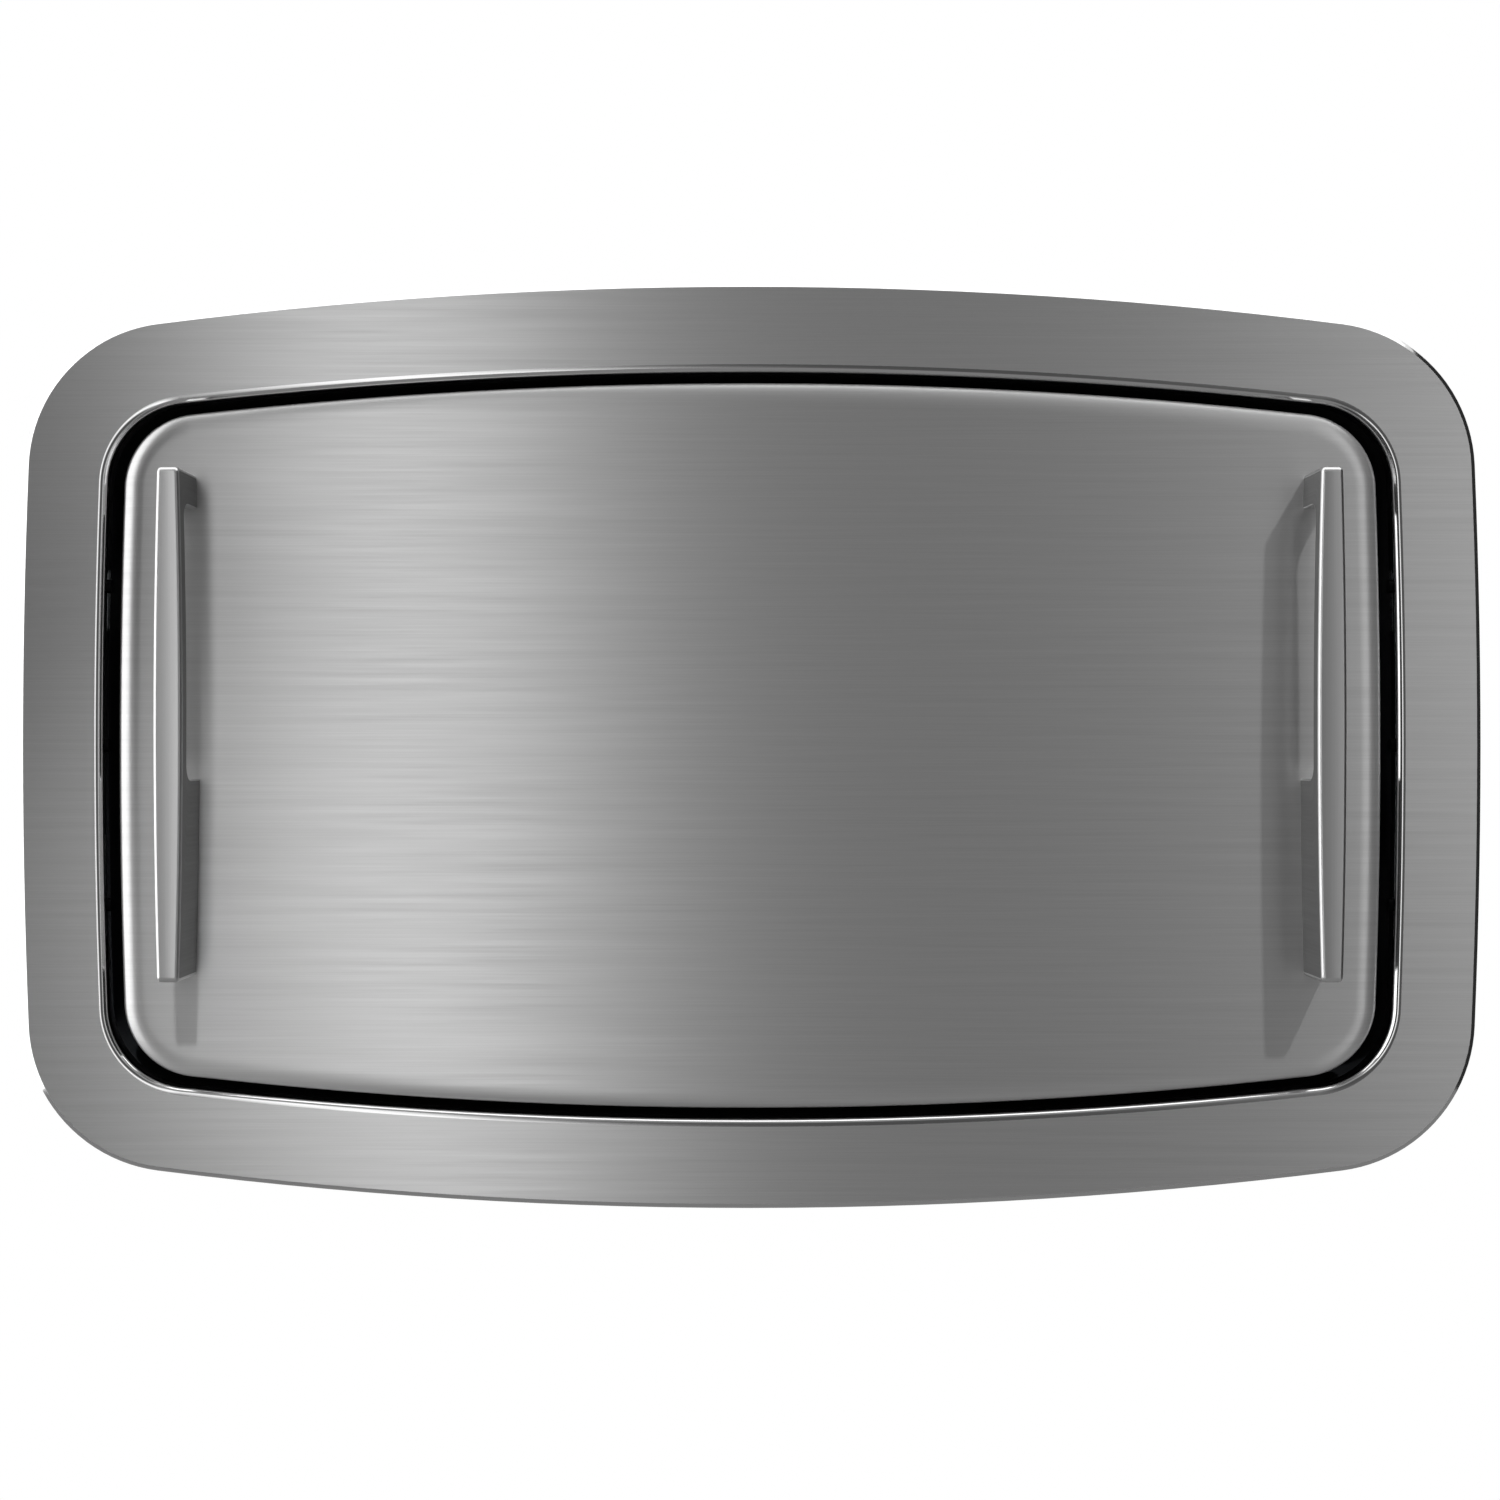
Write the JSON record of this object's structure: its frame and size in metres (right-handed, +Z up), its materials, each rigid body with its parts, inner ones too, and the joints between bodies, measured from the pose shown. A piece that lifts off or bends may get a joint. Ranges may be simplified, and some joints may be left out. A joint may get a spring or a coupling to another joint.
{
  "type": "baby changing station",
  "caption": "Wall-recessed fold-down baby changing station: brushed steel flange and door with bar handles, moulded bed, gas struts, strap and liner store.",
  "frame": {"origin": "middle of the flange opening, on the finished wall plane", "axes": "+X to the right seen from the room, +Y into the wall, +Z up"},
  "size_m": [0.96, 0.145, 0.6078],
  "materials": {
    "brushed_stainless": "stainless sheet brushed in level lines",
    "zinc_plated_steel": "bright zinc plate",
    "bright_screw_steel": "bright drawn steel",
    "grey_polyethylene": "fine moulded grain",
    "charcoal_polyethylene": "fine moulded grain",
    "black_oxide_steel": "black oxide",
    "black_rubber": "matt",
    "white_nylon": "satin",
    "nylon_webbing": "woven webbing",
    "black_nylon": "moulded, satin",
    "cast_zinc": "tumbled nickel plate",
    "black_painted_steel": "semi-gloss black"
  },
  "bodies": {
    "wall_unit": {"bracket_screws": "bright_screw_steel", "flange_frame": "brushed_stainless", "frame_collar": "brushed_stainless", "frame_screws": "black_oxide_steel", "hinge_bracket_left": "zinc_plated_steel", "hinge_bracket_middle": "zinc_plated_steel", "hinge_bracket_right": "zinc_plated_steel", "hinge_rod": "bright_screw_steel", "hinge_rod_rings": "bright_screw_steel", "liner_compartment": "grey_polyethylene", "rubber_bumpers": "black_rubber", "strut_anchor_left": "zinc_plated_steel", "strut_anchor_right": "zinc_plated_steel", "wall_box": "charcoal_polyethylene"},
    "bed": {"door_skin": "brushed_stainless", "bed_tray": "grey_polyethylene", "handle_left": "brushed_stainless", "handle_right": "brushed_stainless", "handle_backing_left": "zinc_plated_steel", "handle_backing_right": "zinc_plated_steel", "handle_screws": "bright_screw_steel", "bed_hinge_ear_left": "zinc_plated_steel", "bed_hinge_ear_middle": "zinc_plated_steel", "bed_hinge_ear_right": "zinc_plated_steel", "hinge_bushes": "white_nylon", "ear_screws": "bright_screw_steel", "strut_stud_left": "zinc_plated_steel", "strut_stud_right": "zinc_plated_steel", "strap_lower": "nylon_webbing", "strap_upper": "nylon_webbing", "strap_anchors": "black_nylon", "buckle_frame": "cast_zinc", "buckle_pin": "bright_screw_steel"},
    "left_cylinder": {"strut_cylinder_left": "black_painted_steel"},
    "left_rod": {"strut_rod_left": "bright_screw_steel"},
    "right_cylinder": {"strut_cylinder_right": "black_painted_steel"},
    "right_rod": {"strut_rod_right": "bright_screw_steel"},
    "cover": {"liner_cover": "grey_polyethylene"},
    "cam_lever": {"buckle_lever": "cast_zinc"}
  },
  "joints": [
    {"name": "bed_fold", "type": "hinge", "parent": "wall_unit", "child": "bed", "pos_m": [0, 0.012, -0.19], "axis": [1, 0, 0], "range_deg": [0, 90], "stiffness_Nm_per_rad": 4, "springref_deg": -17.19},
    {"name": "cover_lift", "type": "slide", "parent": "wall_unit", "child": "cover", "axis": [0, 0, 1], "range_m": [0, 0.06]},
    {"name": "cam_clamp", "type": "hinge", "parent": "bed", "child": "cam_lever", "pos_m": [0, 0.0323, 0], "axis": [1, 0, 0], "range_deg": [0, 50], "stiffness_Nm_per_rad": 0.05, "springref_deg": -22.92},
    {"name": "left_strut_swing", "type": "hinge", "parent": "wall_unit", "child": "left_cylinder", "pos_m": [-0.409, 0.075, 0.1], "axis": [-1, 0, 0], "range_deg": [0, 10.2]},
    {"name": "left_strut_slide", "type": "slide", "parent": "left_cylinder", "child": "left_rod", "axis": [0, -0.22, -0.9755], "range_m": [0, 0.0631]},
    {"name": "right_strut_swing", "type": "hinge", "parent": "wall_unit", "child": "right_cylinder", "pos_m": [0.409, 0.075, 0.1], "axis": [-1, 0, 0], "range_deg": [0, 10.2]},
    {"name": "right_strut_slide", "type": "slide", "parent": "right_cylinder", "child": "right_rod", "axis": [0, -0.22, -0.9755], "range_m": [0, 0.0631]}
  ],
  "couplings": [
    {"joint": "left_strut_swing", "follows": "bed_fold", "ratio": 0.1127},
    {"joint": "left_strut_slide", "follows": "bed_fold", "m_per_rad": 0.040073},
    {"joint": "right_strut_swing", "follows": "bed_fold", "ratio": 0.1127},
    {"joint": "right_strut_slide", "follows": "bed_fold", "m_per_rad": 0.040073}
  ]
}
